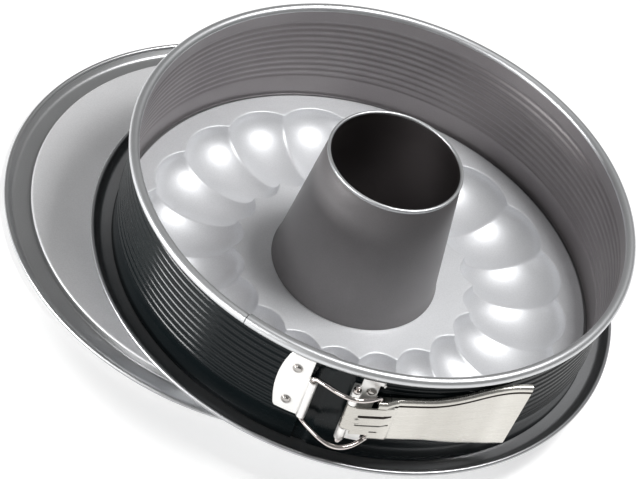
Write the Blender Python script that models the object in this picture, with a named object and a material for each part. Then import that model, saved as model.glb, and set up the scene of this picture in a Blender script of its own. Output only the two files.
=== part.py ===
# Springform tube pan standing on its flat base, in metres, +Z up, table at z = 0.
# The world origin is below the middle of both bases; pan_x and pan_y place the pan's axis.
# Pan coordinates have their origin on that axis; angles are in degrees from +X, seen from above.
import bpy
import bmesh
from math import sin, cos, acos, atan2, sqrt, pi, radians, degrees, hypot
from mathutils import Vector

mm = 0.001

# sheet steel and fits
sheet = 0.6 * mm
gap = 0.3 * mm
round_steps = 48

# band: inside radius, height of the rim above the floor, rolled rim
bore_radius = 129.6 * mm
rim_bead = 2.7 * mm
rim_height = 61.0 * mm
foot_taper = 0.4 * mm

# ribs of the band, counted down from the rim plane
ribs = 10
rib_depth = 0.55 * mm
first_rib = 9 * mm
rib_free_foot = 15.7 * mm

# overlap of the band's two ends, lengths along the wall
lap_length = 40 * mm
joggle_start = 9.5 * mm
joggle_length = 4.5 * mm
end_past_plate = 1.3 * mm

# flange that both bases share
channel_drop = 3.0 * mm
plateau_clearance = 0.8 * mm
channel_past_rim = 1.6 * mm
lip_past_channel = 5.4 * mm
lip_bead = 1.3 * mm
lip_over_floor = 1.2 * mm

# scooped floor
lobes = 20
lobe_depth = 15.5 * mm
lobe_spread = 5 / 3
lobe_phase = 8
inner_flat = 16.2 * mm
outer_flat = 10.4 * mm

# centre tube
tube_foot = 44.5 * mm
tube_top = 35.6 * mm
tube_height = 80.4 * mm
tube_sheet = 0.8 * mm
tube_wall_at_hole = 0.9 * mm
collar_width = 2.0 * mm

# where the flat base lies under the pan
base_offset_x = -51 * mm
base_offset_y = 21 * mm

# latch: places of pin, hook and barrel along the wall, and their distances from it
plate = 1.0 * mm
turning_gap = 0.25 * mm
pin_radius = 1.25 * mm
pin_head = 2.1 * mm
pin_collar = 1.2 * mm
pin_knob = 2.1 * mm
pin_under_rim = 3.7 * mm
pin_x = 21.6 * mm
pin_from_wall = 5.87 * mm
hook_from_pin = 12.7 * mm
hook_from_wall = 3.02 * mm
barrel_from_pin = 21.4 * mm
wire_radius = 1.2 * mm
wire_bow = 8.35 * mm
wire_spread = 3.0 * mm
lever_range = 120

# lever
tongue_half = 9.5 * mm
tongue_turn = 15
knuckle_cut = 2.7 * mm
strip_from_pin = 2.7 * mm
ear_width = 2.9 * mm
ear_depth = 4.2 * mm
ear_before_hook = 0.2 * mm
ear_past_hook = 4.3 * mm
slot_past_tongue = 0.2 * mm
lever_length = 80.1 * mm
handle_from_wall = 3.2 * mm
handle_rise = 1.3 * mm
handle_flare = 4.5 * mm
handle_half = 13.6 * mm
handle_end_half = 20.6 * mm
handle_lift = 1 * mm
handle_slant = 0.08
hem_depth = 2.3 * mm

# hook plate and hinge bracket
hook_plate_width = 15.8 * mm
hook_plate_to_barrel = 2 * mm
hook_plate_low = 14.9 * mm
hook_plate_under_rim = 1.7 * mm
hook_plate_bow = 3.1 * mm
barrel_past_ear = 0.4 * mm
knuckle_gap = 0.5 * mm
knuckle_height = 8.5 * mm
bracket_edge = 4.9 * mm
bracket_width = 8.7 * mm
bracket_from_pin = 0.9 * mm
horn_length = 3 * mm
horn_height = 2.4 * mm

# rivets
rivet_radius = 1.5 * mm
rivet_head = 2.7 * mm
rivet_dome = 1.1 * mm
rivet_foot = 0.4 * mm
rivet_seat = 0.2 * mm
hook_rivet_half = 11.5 * mm
hook_rivet_inset = 7.4 * mm
hook_rivet_drop = 0.7 * mm
bracket_rivet_from_pin = 6.6 * mm
bracket_rivet_inset = 2.8 * mm

# heights that follow
channel_top = sheet
base_lip = channel_top + channel_drop
base_plateau = base_lip + lip_bead + 0.2 * mm
floor_top = base_plateau + gap + sheet + lobe_depth
pan_lip = floor_top + lip_over_floor
pan_channel = pan_lip - channel_drop
rim_plane = floor_top + rim_height
band_foot = pan_channel + gap
rib_pitch = (rim_plane - band_foot - rib_free_foot - first_rib) / (ribs - 1)

# radii that follow
rim_radius = bore_radius + 2 * rim_bead
band_face = bore_radius + sheet
crest_face = band_face + rib_depth
plate_back = crest_face + gap
plate_face = plate_back + plate
lap_step = sheet + rivet_seat + rivet_foot + gap
plateau_radius = bore_radius - lap_step - plateau_clearance
channel_outer = rim_radius + channel_past_rim
lip_radius = channel_outer + lip_past_channel
lobe_start = tube_foot + inner_flat
lobe_stop = plateau_radius - outer_flat
tube_hole = tube_foot - tube_wall_at_hole
back_hinge = (0, rim_radius + 0.2 * mm)

# latch sizes that follow
knuckle = pin_radius + turning_gap + plate
barrel = wire_radius + turning_gap + plate
ear_half = tongue_half + ear_width
barrel_half = ear_half + barrel_past_ear
pivot_rise = knuckle_cut / 2
knuckle_near = tongue_half - pivot_rise + knuckle_gap
knuckle_far = knuckle_near + knuckle_height
pin_half = knuckle_far + gap + pin_collar + pin_knob
latch_drop = rim_bead + pin_under_rim + pin_half + pivot_rise
latch_z = rim_plane - latch_drop
pivot_z = latch_z + pivot_rise
bracket_reach = bracket_from_pin + bracket_width + horn_length

pan_x = -base_offset_x / 2
pan_y = -base_offset_y / 2


def by_wall(x, distance):
    """Point at a given x on the latch side, a given distance outside the band's rib crests."""
    return (x, -sqrt((crest_face + distance) ** 2 - x * x))


def wall_angle(x, radius):
    return -degrees(acos(x / radius))


pin_at = by_wall(pin_x, pin_from_wall)
hook_at = by_wall(pin_x + hook_from_pin, hook_from_wall)
barrel_at = by_wall(pin_x - barrel_from_pin, barrel + gap)

# angles that follow
plate_right = barrel_at[0] - hook_plate_to_barrel
outer_end = wall_angle(plate_right + end_past_plate, band_face)
inner_end = outer_end - degrees(lap_length / bore_radius)
joggle = [outer_end + degrees(length / bore_radius) for length in (joggle_start, joggle_start - joggle_length)]
rest_slit = degrees(gap / bore_radius)
fine_until = wall_angle(pin_x + bracket_reach, plate_back) + 4.7


for old in list(bpy.data.objects):
    bpy.data.objects.remove(old, do_unlink=True)


def material(name, colour, roughness, metallic=1.0):
    made = bpy.data.materials.new(name)
    made.use_nodes = True
    shader = made.node_tree.nodes["Principled BSDF"]
    shader.inputs["Base Color"].default_value = (*colour, 1)
    shader.inputs["Roughness"].default_value = roughness
    shader.inputs["Metallic"].default_value = metallic
    return made


def add_piece(name, mesh, look, origin=(0, 0, 0), smooth=40):
    """Turn a bmesh built in pan coordinates into an object whose origin is at the given point."""
    bmesh.ops.recalc_face_normals(mesh, faces=mesh.faces)
    if mesh.calc_volume() < 0:
        bmesh.ops.reverse_faces(mesh, faces=mesh.faces)
    bmesh.ops.translate(mesh, verts=mesh.verts, vec=-Vector(origin))
    for edge in mesh.edges:
        edge.smooth = len(edge.link_faces) == 2 and edge.calc_face_angle(pi) < radians(smooth)
    data = bpy.data.meshes.new(name)
    mesh.to_mesh(data)
    mesh.free()
    for face in data.polygons:
        face.use_smooth = True
    piece = bpy.data.objects.new(name, data)
    data.materials.append(look)
    bpy.context.collection.objects.link(piece)
    piece.location = (origin[0] + pan_x, origin[1] + pan_y, origin[2])
    return piece


def skin(mesh, rows, close_rows=False, close_ring=False):
    """Join rows of points with quads; returns the vertex rows."""
    made = [[mesh.verts.new(p) for p in row] for row in rows]
    count = len(made) if close_rows else len(made) - 1
    for i in range(count):
        a = made[i]
        b = made[(i + 1) % len(made)]
        last = len(a) if close_ring else len(a) - 1
        for k in range(last):
            n = (k + 1) % len(a)
            mesh.faces.new((a[k], a[n], b[n], b[k]))
    return made


def offset_path(path, amount):
    """Shift an open path of 2-D points to its left by an even amount, with mitred corners."""
    moved = []
    for i, here in enumerate(path):
        sides = []
        for a, b in ((i - 1, i), (i, i + 1)):
            if a < 0 or b >= len(path):
                continue
            dx = path[b][0] - path[a][0]
            dy = path[b][1] - path[a][1]
            size = hypot(dx, dy)
            sides.append((-dy / size, dx / size))
        nx = sum(s[0] for s in sides)
        ny = sum(s[1] for s in sides)
        size = hypot(nx, ny)
        nx, ny = nx / size, ny / size
        grow = amount / max(0.5, nx * sides[0][0] + ny * sides[0][1])
        moved.append((here[0] + nx * grow, here[1] + ny * grow))
    return moved


def arc(cx, cz, radius, start, stop, steps):
    """Points on a circle, angles in degrees."""
    turns = [radians(start + (stop - start) * i / steps) for i in range(steps + 1)]
    return [(cx + radius * cos(t), cz + radius * sin(t)) for t in turns]


def around(profile, angle):
    c, s = cos(angle), sin(angle)
    return [(r * c, r * s, z) for r, z in profile]


def spread(start, stop, steps):
    return [start + (stop - start) * i / steps for i in range(steps + 1)]


def cut(target, cutter):
    cutter.hide_render = True
    cutter.display_type = "WIRE"
    cutter.data.materials.clear()
    tool = target.modifiers.new("cut", "BOOLEAN")
    tool.solver = "EXACT"
    tool.operation = "DIFFERENCE"
    tool.object = cutter


# section that both bases share: plateau, channel and rolled lip
def flange(plateau, lip, inner):
    channel = lip - channel_drop
    shoulder = (lobe_stop + plateau_radius) / 2
    top = [(inner, plateau), (shoulder, plateau), (plateau_radius - 1 * mm, plateau - 0.35 * mm),
           (plateau_radius, plateau - 1.1 * mm), (plateau_radius + 0.35 * mm, channel + 0.4 * mm),
           (plateau_radius + 0.7 * mm, channel), (channel_outer - 1 * mm, channel),
           (channel_outer + 0.8 * mm, channel + 0.8 * mm)]
    bead = arc(lip_radius - lip_bead, lip, lip_bead, 195, -105, 7)
    return top, bead, offset_path(top, -sheet)


# flat base, lying on the table
def flat_disc():
    mesh = bmesh.new()
    top, bead, under = flange(base_plateau, base_lip, 0)
    loop = top[1:] + bead + under[:0:-1]
    rows = [around(loop, 2 * pi * i / round_steps) for i in range(round_steps)]
    made = skin(mesh, rows, close_rows=True)
    for end, height in ((0, base_plateau), (-1, base_plateau - sheet)):
        centre = mesh.verts.new((0, 0, height))
        for i in range(round_steps):
            mesh.faces.new((made[i][end], made[(i + 1) % round_steps][end], centre))
    return mesh


flat_look = material("flat_base_steel", (0.62, 0.62, 0.63), 0.35)
flat_base = add_piece("flat_base", flat_disc(), flat_look)
flat_base.location = (base_offset_x / 2, base_offset_y / 2, 0)


# pan base: scoops between two flat rings, each half an ellipsoid that its neighbours cut
def scooped_floor():
    across = 4
    along = 8
    steps = lobes * across
    half = pi / lobes
    middle = (lobe_start + lobe_stop) / 2
    half_length = (lobe_stop - lobe_start) / 2
    inner_ring = (tube_foot + lobe_start) / 2
    rows = []
    for i in range(steps):
        turn = radians(lobe_phase) - half + 2 * pi * i / steps
        v = (2 * (i % across) / across - 1) / lobe_spread
        side = sqrt(1 - v * v)
        row = [(tube_hole, floor_top), (inner_ring, floor_top)]
        for k in range(along + 1):
            s = pi * k / along
            row.append((middle - half_length * side * cos(s), floor_top - lobe_depth * side * sin(s)))
        rows.append((turn, row))
    top, bead, under = flange(floor_top, pan_lip, tube_hole)
    mesh = bmesh.new()
    upper = skin(mesh, [around(row + top[1:], turn) for turn, row in rows], close_rows=True)
    bmesh.ops.recalc_face_normals(mesh, faces=mesh.faces)
    mesh.normal_update()
    if upper[0][0].normal.z < 0:
        bmesh.ops.reverse_faces(mesh, faces=mesh.faces)
        mesh.normal_update()
    scoop = len(rows[0][1])
    loops = []
    for ring, (turn, row) in zip(upper, rows):
        below = [mesh.verts.new(p.co - p.normal * sheet) for p in ring[:scoop]]
        below += [mesh.verts.new(p) for p in around(under[1:], turn)]
        lip = [mesh.verts.new(p) for p in around(bead, turn)]
        loops.append([ring[-1]] + lip + below[::-1] + [ring[0]])
    for i in range(steps):
        a, b = loops[i], loops[(i + 1) % steps]
        for k in range(len(a) - 1):
            mesh.faces.new((a[k], a[k + 1], b[k + 1], b[k]))
    return mesh


floor_look = material("tube_base_steel", (0.60, 0.60, 0.61), 0.33)
add_piece("tube_base_floor", scooped_floor(), floor_look, (0, 0, floor_top), smooth=50)


# centre tube, held in the floor by a spigot and a collar
def tube_section():
    foot = floor_top + gap
    under = floor_top - sheet - gap
    top = floor_top + tube_height
    spigot = tube_hole - gap
    collar = tube_foot + collar_width
    outside = [(tube_top, top - 1.5 * tube_sheet), (tube_foot, foot + 1.5 * mm), (tube_foot + 0.5 * mm, foot),
               (spigot, foot), (spigot, under), (collar, under),
               (collar, under - tube_sheet), (spigot - tube_sheet, under - tube_sheet),
               (spigot - tube_sheet, foot), (tube_foot - tube_sheet - 0.6 * mm, foot + 1.5 * mm),
               (tube_top - tube_sheet, top - 1.5 * tube_sheet)]
    return outside + arc(tube_top - tube_sheet / 2, top - tube_sheet, tube_sheet, 180, 0, 4)


tube_mesh = bmesh.new()
tube_rows = [around(tube_section(), 2 * pi * i / 40) for i in range(40)]
skin(tube_mesh, tube_rows, close_rows=True, close_ring=True)
tube_look = material("tube_coating", (0.10, 0.10, 0.105), 0.42)
add_piece("center_tube", tube_mesh, tube_look, (0, 0, floor_top))


# sprung band with ribs and a rolled rim
def band_section(overlap):
    """Closed section; overlap goes from 0, full ribs, to 1, the smooth inner lap."""
    outer = [(band_face, rim_plane - rim_bead - 1.5 * mm)]
    for i in range(ribs):
        crest = rim_plane - first_rib - rib_pitch * i
        outer.append((crest_face, crest))
        outer.append((band_face, crest - rib_pitch / 2))
    outer.append((band_face - foot_taper, band_foot + 2 * sheet))
    inner = [(r - sheet, z) for r, z in outer]
    foot = [(band_face, band_foot + sheet), (band_face, band_foot), (bore_radius - foot_taper, band_foot)]
    middle = rim_radius - rim_bead
    bead = arc(middle, rim_plane, rim_bead, 180, -141, 8)
    loop = bead + outer + foot + inner[::-1]
    lap = []
    for i, (r, z) in enumerate(loop):
        if i < len(bead):
            inward = max(0, (middle - r) / rim_bead)
        else:
            wall = bore_radius if i >= len(loop) - len(inner) - 1 else band_face
            inward = 1
            r = r + overlap * (wall - r)
        lap.append((r - overlap * lap_step * inward, z))
    return lap, len(bead), len(outer)


def band(turns, lap_from=None):
    """Part of the band with a row at each angle; lap_from adds the joggle to the inner lap."""
    if lap_from:
        turns = sorted(turns + list(lap_from))
    mesh = bmesh.new()
    rows = []
    for turn in turns:
        overlap = 0
        if lap_from:
            overlap = min(1, max(0, (turn - lap_from[0]) / (lap_from[1] - lap_from[0])))
        section, bead, wall = band_section(overlap)
        rows.append(around(section, radians(turn)))
    made = skin(mesh, rows, close_ring=True)
    for ring in (made[0], made[-1]):
        mesh.faces.new(ring[:bead + 1] + ring[-1:])
        for k in range(wall - 1):
            mesh.faces.new((ring[bead + k], ring[bead + k + 1], ring[-k - 2], ring[-k - 1]))
        mesh.faces.new(ring[bead + wall - 1:bead + wall + 4])
    return mesh


fine_from = 360 + inner_end - 2.1
right_turns = spread(inner_end, fine_until, 11) + spread(fine_until, 90 - rest_slit / 2, 21)[1:]
left_turns = spread(90 + rest_slit / 2, fine_from, 21) + spread(fine_from, 360 + outer_end, 6)[1:]
band_look = material("band_coating", (0.045, 0.05, 0.05), 0.3)
left_look = material("band_coating_left", (0.045, 0.05, 0.05), 0.3)
right_band = add_piece("ring_band_right", band(right_turns, joggle), band_look, (0, 0, band_foot))
left_band = add_piece("ring_band_left", band(left_turns), left_look, (*back_hinge, band_foot))

# the left rim ends where the right rim runs over it
notch = bmesh.new()
notch_low = rim_plane - rim_bead - 0.6 * mm
notch_top = rim_plane + 2 * rim_bead
notch_in = bore_radius - 2 * rim_bead
notch_out = rim_radius + 2 * rim_bead
notch_box = [(notch_in, notch_low), (notch_out, notch_low), (notch_out, notch_top), (notch_in, notch_top)]
notch_rows = [around(notch_box, radians(t)) for t in spread(inner_end - 0.2, outer_end + 3, 5)]
notch_ends = skin(notch, notch_rows, close_ring=True)
notch.faces.new(notch_ends[0])
notch.faces.new(notch_ends[-1])
cut(left_band, add_piece("rim_notch", notch, band_look))


# rivets: an axis through the wall at an angle, distances measured from the pan's axis
def on_wall(angle, out, side, z):
    c, s = cos(radians(angle)), sin(radians(angle))
    return (out * c - side * s, out * s + side * c, z)


def turned(mesh, angle, z, profile, sides=12):
    """Solid of revolution about a line through the wall; profile is (distance out, radius)."""
    rows = []
    for i in range(sides):
        t = 2 * pi * i / sides
        rows.append([on_wall(angle, out, r * cos(t), z + r * sin(t)) for out, r in profile])
    made = skin(mesh, rows, close_rows=True)
    for end in (0, -1):
        mesh.faces.new([row[end] for row in made])


def rivet(name, angle, z, look):
    mesh = bmesh.new()
    inside = bore_radius - rivet_seat
    outside = plate_face + gap / 2
    washer = rivet_radius + 0.7 * mm
    profile = [(inside - rivet_foot, washer), (inside, washer), (inside, rivet_radius), (outside, rivet_radius),
               (outside, rivet_head), (outside + rivet_dome * 0.55, rivet_head * 0.85),
               (outside + rivet_dome, rivet_head * 0.4)]
    turned(mesh, angle, z, profile)
    add_piece(name, mesh, look, on_wall(angle, outside, 0, z))


def rivet_hole(angle, z, targets):
    mesh = bmesh.new()
    hole_radius = rivet_radius + gap
    turned(mesh, angle, z, [(bore_radius - 5 * mm, hole_radius), (plate_face + 5 * mm, hole_radius)])
    hole = add_piece("hole_cutter", mesh, band_look)
    for target in targets:
        cut(target, hole)


nickel = material("nickel_plate", (0.78, 0.75, 0.70), 0.24)


def knuckle_path(centre, start, sweep, radius, steps=10):
    """Plan path that curls round a pin; angles in degrees."""
    return arc(centre[0], centre[1], radius, start, start + sweep, steps)


def folded_sheet(columns, filled):
    """Closed sheet from columns of (front points, back points); filled(i, j) says which cells exist."""
    mesh = bmesh.new()
    made = {}

    def corner(i, j, side):
        if (i, j, side) not in made:
            made[i, j, side] = mesh.verts.new(columns[i][side][j])
        return made[i, j, side]

    wide = len(columns) - 1
    tall = len(columns[0][0]) - 1

    def there(i, j):
        return 0 <= i < wide and 0 <= j < tall and filled(i, j)

    for i in range(wide):
        for j in range(tall):
            if not there(i, j):
                continue
            ring = [(i, j), (i + 1, j), (i + 1, j + 1), (i, j + 1)]
            mesh.faces.new([corner(*c, 0) for c in ring])
            mesh.faces.new([corner(*c, 1) for c in ring[::-1]])
            sides = ((i, j - 1), (i + 1, j), (i, j + 1), (i - 1, j))
            for k, beside in enumerate(sides):
                if not there(*beside):
                    a, b = ring[k], ring[(k + 1) % 4]
                    mesh.faces.new((corner(*b, 0), corner(*a, 0), corner(*a, 1), corner(*b, 1)))
    return mesh


def bent_columns(path, side, sections, shear=None):
    """Columns for folded_sheet: each section is a list of (depth, z), depth towards the given side."""
    normals = offset_path(path, side * mm)
    columns = []
    for i, ((x, y), (nx, ny)) in enumerate(zip(path, normals)):
        nx, ny = (nx - x) / mm, (ny - y) / mm
        front = sections[i]
        back = offset_path(front, -plate)
        slide = shear[i] if shear else 0
        tx, ty = side * ny, -side * nx
        column = []
        for points in (front, back):
            column.append([(x + nx * d + tx * slide * z, y + ny * d + ty * slide * z, latch_z + z)
                           for d, z in points])
        columns.append(column)
    return columns


# hook plate: lies on the left band, bowed left edge, barrel curled round the wire
plate_left = plate_right - hook_plate_width
hook_plate_top = latch_drop - rim_bead - hook_plate_under_rim
hook_plate_middle = (hook_plate_top - hook_plate_low) / 2
hook_plate_half = (hook_plate_top + hook_plate_low) / 2


def hook_plate():
    wall = [by_wall(x, gap) for x in spread(plate_left, plate_right, 3)]
    path = wall + knuckle_path(barrel_at, 90, -280, barrel)
    levels = [-hook_plate_low, -barrel_half, -barrel_half / 3, barrel_half / 3, barrel_half,
              hook_plate_top - 6 * mm, hook_plate_top - 2.5 * mm, hook_plate_top]
    columns = bent_columns(path, -1, [[(0, z) for z in levels]] * len(path))
    for side in (0, 1):
        for j, z in enumerate(levels):
            inset = hook_plate_bow * ((z - hook_plate_middle) / hook_plate_half) ** 2
            for i, share in enumerate((1, 0.45)):
                x, y, height = columns[i][side][j]
                columns[i][side][j] = (x + inset * share, y - inset * share * 0.11, height)
    on_plate = len(wall) - 1
    return folded_sheet(columns, lambda i, j: i < on_plate or 1 <= j <= 3)


hook_rivet_angle = wall_angle(plate_right - hook_rivet_inset, plate_back)
hook_origin = on_wall(hook_rivet_angle, crest_face, 0, latch_z)
hook = add_piece("hook_plate", hook_plate(), nickel, hook_origin, smooth=35)
hook_rivet_middle = latch_z + hook_plate_middle - hook_rivet_drop
hook_rivet_z = [hook_rivet_middle + side * hook_rivet_half for side in (1, -1)]
for name, z in zip(("hook_rivet_upper", "hook_rivet_lower"), hook_rivet_z):
    rivet_hole(hook_rivet_angle, z, (left_band, hook))
    rivet(name, hook_rivet_angle, z, nickel)


# hinge bracket: plate on the right band, two knuckles for the pin
def hinge_bracket():
    edge_x = pin_at[0] - knuckle
    plate_from = pin_x + bracket_from_pin
    wall_x = [pin_x + bracket_reach] + [plate_from + bracket_width * share for share in (1, 0.5, 0)]
    wall_x.append(edge_x + 0.7 * mm)
    wall = [by_wall(x, gap) for x in wall_x]
    corner = [(edge_x, wall[-1][1] - 0.7 * mm)]
    path = wall + corner + knuckle_path(pin_at, 180, 250, knuckle, 9)
    top = knuckle_far + bracket_edge
    levels = [knuckle_near, knuckle_far, top - horn_height, top]
    levels = [-z for z in levels[::-1]] + levels
    columns = bent_columns(path, 1, [[(0, z + pivot_rise) for z in levels]] * len(path))
    turn = len(wall) - 2

    def filled(i, j):
        if i == 0:
            return j in (0, 6)
        if i < turn:
            return True
        return j in (2, 4)
    return folded_sheet(columns, filled)


pin_origin = (*pin_at, latch_z)
bracket = add_piece("hinge_bracket", hinge_bracket(), nickel, pin_origin, smooth=35)
bracket_angle = wall_angle(pin_x + bracket_rivet_from_pin, plate_back)
bracket_rivet_z = [pivot_z + side * (knuckle_far - bracket_rivet_inset) for side in (1, -1)]
for name, z in zip(("bracket_rivet_upper", "bracket_rivet_lower"), bracket_rivet_z):
    rivet_hole(bracket_angle, z, (right_band, bracket))
    rivet(name, bracket_angle, z, nickel)


# pivot pin with a collar at each end
pin_mesh = bmesh.new()
collar_low = knuckle_far + gap
collar_high = collar_low + pin_collar
pin_profile = [(-pin_half, pin_radius), (-collar_high, pin_radius), (-collar_high, pin_head),
               (-collar_low, pin_head), (-collar_low, pin_radius)]
pin_profile = pin_profile + [(-z, r) for z, r in pin_profile[::-1]]
pin_rows = [[(pin_at[0] + r * cos(t), pin_at[1] + r * sin(t), pivot_z + z) for z, r in pin_profile]
            for t in (2 * pi * i / 12 for i in range(12))]
pin_made = skin(pin_mesh, pin_rows, close_rows=True)
for end in (0, -1):
    pin_mesh.faces.new([row[end] for row in pin_made])
add_piece("pivot_pin", pin_mesh, nickel, pin_origin)


# lever: knuckle, tongue, two ears for the wire's tips, handle with turned-in edges
def lever():
    lean = radians(degrees(atan2(pin_at[1], pin_at[0])) + tongue_turn)
    start = (pin_at[0] + knuckle * cos(lean), pin_at[1] + knuckle * sin(lean))
    dx, dy = -sin(lean), cos(lean)
    ears = (hook_from_pin - ear_before_hook, hook_from_pin + ear_past_hook * 0.3, hook_from_pin + ear_past_hook)
    tongue = [(start[0] + dx * s, start[1] + dy * s) for s in (strip_from_pin, *ears)]
    handle = []
    widening = []
    for u in spread(0.25, 1, 9):
        rise = handle_rise * max(0, (0.5 - u) / 0.25) ** 2
        flare = handle_flare * max(0, (u - 0.73) / 0.27) ** 2
        handle.append(by_wall(pin_x + u * lever_length, handle_from_wall + rise + flare))
        t = min(1, max(0, (u - 0.44) / 0.5))
        widening.append(t * t * (3 - 2 * t))
    # the path is the sheet's inner face, so the curl's own radius leaves out the plate
    path = knuckle_path(pin_at, degrees(lean) - 255, 255, knuckle - plate, 9) + tongue + handle
    grip = len(path) - len(handle)
    first_ear = grip - len(ears)
    knuckle_low = knuckle_cut - tongue_half
    sections = []
    shear = []
    for i in range(len(path)):
        part = max(0, i - grip + 1) / len(handle)
        half, fold, lift = (ear_half, ear_depth, 0) if i < grip else (handle_half, hem_depth, handle_lift)
        half += (handle_end_half - handle_half) * (widening[i - grip] if i >= grip else 0)
        upper = [(fold, half), (0, half), (0, tongue_half)]
        lower = [(0, -tongue_half), (0, -half), (fold, -half)]
        sections.append([(d, z + lift) for d, z in upper + [(0, knuckle_low)] + lower])
        shear.append(handle_slant * max(0, part - 0.5) / 0.5)
    columns = bent_columns(path, 1, sections, shear)
    return folded_sheet(columns, lambda i, j: i >= first_ear or j == 2 or (j == 3 and i == first_ear - 1))


# how far the band's end and the wire turn while the lever opens, in even ratio to it
def turned_about(point, centre, angle):
    c, s = cos(radians(angle)), sin(radians(angle))
    x, y = point[0] - centre[0], point[1] - centre[1]
    return (centre[0] + c * x - s * y, centre[1] + s * x + c * y)


def direction(start, end):
    return degrees(atan2(end[1] - start[1], end[0] - start[0]))


def open_turns():
    ear = turned_about(hook_at, pin_at, -lever_range)
    wire = hypot(hook_at[0] - barrel_at[0], hook_at[1] - barrel_at[1])
    low, high = 0, 8
    for _ in range(50):
        turn = (low + high) / 2
        end = turned_about(barrel_at, back_hinge, -turn)
        if hypot(ear[0] - end[0], ear[1] - end[1]) < wire:
            low = turn
        else:
            high = turn
    return turn, direction(barrel_at, hook_at) - direction(end, ear) - turn


band_turn, bail_turn = open_turns()
print("with the lever at %g degrees the band turns %.5f and the wire %.5f degrees"
      % (lever_range, band_turn, bail_turn))


def tip_in_lever(share):
    """Where the wire's tip is in the lever, with the lever opened by that share of its range."""
    swung = turned_about(hook_at, barrel_at, -share * bail_turn)
    carried = turned_about(swung, back_hinge, -share * band_turn)
    return turned_about(carried, pin_at, share * lever_range)


# the slot in each ear clears the wire's tip all the way
def slot_tool(side):
    mesh = bmesh.new()
    for share in spread(0, 1, 24):
        x, y = tip_in_lever(share)
        for z in (side * (tongue_half + slot_past_tongue), side * 2 * ear_half):
            for px, py in arc(x, y, wire_radius + turning_gap, 0, 330, 11):
                mesh.verts.new((px, py, latch_z + z))
    hull = bmesh.ops.convex_hull(mesh, input=mesh.verts)
    loose = {v for v in hull["geom_interior"] + hull["geom_unused"] if isinstance(v, bmesh.types.BMVert)}
    bmesh.ops.delete(mesh, geom=list(loose), context="VERTS")
    return mesh


lever_piece = add_piece("lever", lever(), nickel, pin_origin, smooth=35)
for side in (1, -1):
    cut(lever_piece, add_piece("slot_cutter", slot_tool(side), nickel))


# wire bail: back bar in the barrel, bowed arms, tips in the lever's ears
def bail():
    tip_low = ear_half - plate - 1 * mm
    upper = [(*hook_at, tip_low), (*hook_at, ear_half + wire_radius),
             (hook_at[0] - 0.3 * mm, hook_at[1] - 1.1 * mm, ear_half + 2 * wire_radius)]
    for share in (0.03, 0.09, 0.17, 0.27, 0.38, 0.5, 0.65, 0.79, 0.89):
        bulge = sin(pi * share ** 0.72) ** 1.25
        x, y = by_wall(hook_at[0] + share * (barrel_at[0] - hook_at[0]), 2.9 * mm + wire_bow * bulge)
        upper.append((x, y, ear_half + 2.6 * mm + wire_spread * bulge ** 0.8))
    bx, by = barrel_at
    upper += [(bx + 1.5 * mm, by - 0.4 * mm, ear_half + 2.6 * mm), (bx + 0.3 * mm, by, ear_half + 1.9 * mm),
              (bx, by, barrel_half + 0.4 * mm), (bx, by, barrel_half / 2)]
    path = upper + [(x, y, -z) for x, y, z in upper[::-1]]
    path = [Vector((x, y, latch_z + z)) for x, y, z in path]
    rows = []
    side = Vector((1, 0, 0))
    for i, here in enumerate(path):
        ahead = (path[min(i + 1, len(path) - 1)] - path[max(i - 1, 0)]).normalized()
        side = (side - ahead * side.dot(ahead)).normalized()
        up = ahead.cross(side)
        turns = [2 * pi * k / 8 for k in range(8)]
        rows.append([here + wire_radius * (cos(t) * side + sin(t) * up) for t in turns])
    mesh = bmesh.new()
    made = skin(mesh, rows, close_ring=True)
    mesh.faces.new(made[0])
    mesh.faces.new(made[-1])
    return mesh


add_piece("bail_wire", bail(), nickel, (*barrel_at, latch_z))
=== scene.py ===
# Springform tube pan with its spare flat base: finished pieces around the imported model.
# Lengths in the dictionaries are millimetres; pan coordinates start on the pan's axis, at table height.
import bpy
import bmesh
from math import sin, cos, tan, pi, sqrt, acos, atan2, radians, degrees, hypot
from mathutils import Vector, Matrix


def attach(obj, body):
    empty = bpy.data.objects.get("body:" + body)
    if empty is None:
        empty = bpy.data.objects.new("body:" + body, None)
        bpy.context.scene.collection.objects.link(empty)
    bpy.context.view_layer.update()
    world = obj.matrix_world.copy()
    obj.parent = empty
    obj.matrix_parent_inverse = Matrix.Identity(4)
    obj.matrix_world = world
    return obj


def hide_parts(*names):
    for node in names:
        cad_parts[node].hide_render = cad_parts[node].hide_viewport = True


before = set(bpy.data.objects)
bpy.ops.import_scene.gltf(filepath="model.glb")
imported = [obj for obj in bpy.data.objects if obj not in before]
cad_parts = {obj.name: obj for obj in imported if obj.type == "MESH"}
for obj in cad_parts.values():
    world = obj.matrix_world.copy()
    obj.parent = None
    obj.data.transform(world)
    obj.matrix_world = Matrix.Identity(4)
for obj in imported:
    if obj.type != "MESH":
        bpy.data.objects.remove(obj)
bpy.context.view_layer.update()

stand = {
    "panAxis": (25.5, -10.5),
    "flatBaseAxis": (-25.5, 10.5),
}
sheet = 0.6
plate = 1.0


def atPan(x, y, z):
    return Vector((x + stand["panAxis"][0], y + stand["panAxis"][1], z)) / 1000


def atFlatBase(x, y, z):
    return Vector((x + stand["flatBaseAxis"][0], y + stand["flatBaseAxis"][1], z)) / 1000


# small geometry helpers
def spread(start, stop, steps):
    return [start + (stop - start) * i / steps for i in range(steps + 1)]


def ease(t):
    t = min(1, max(0, t))
    return t * t * (3 - 2 * t)


def arc(cx, cy, radius, start, stop, steps):
    return [(cx + radius * cos(radians(t)), cy + radius * sin(radians(t)))
            for t in spread(start, stop, steps)]


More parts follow.
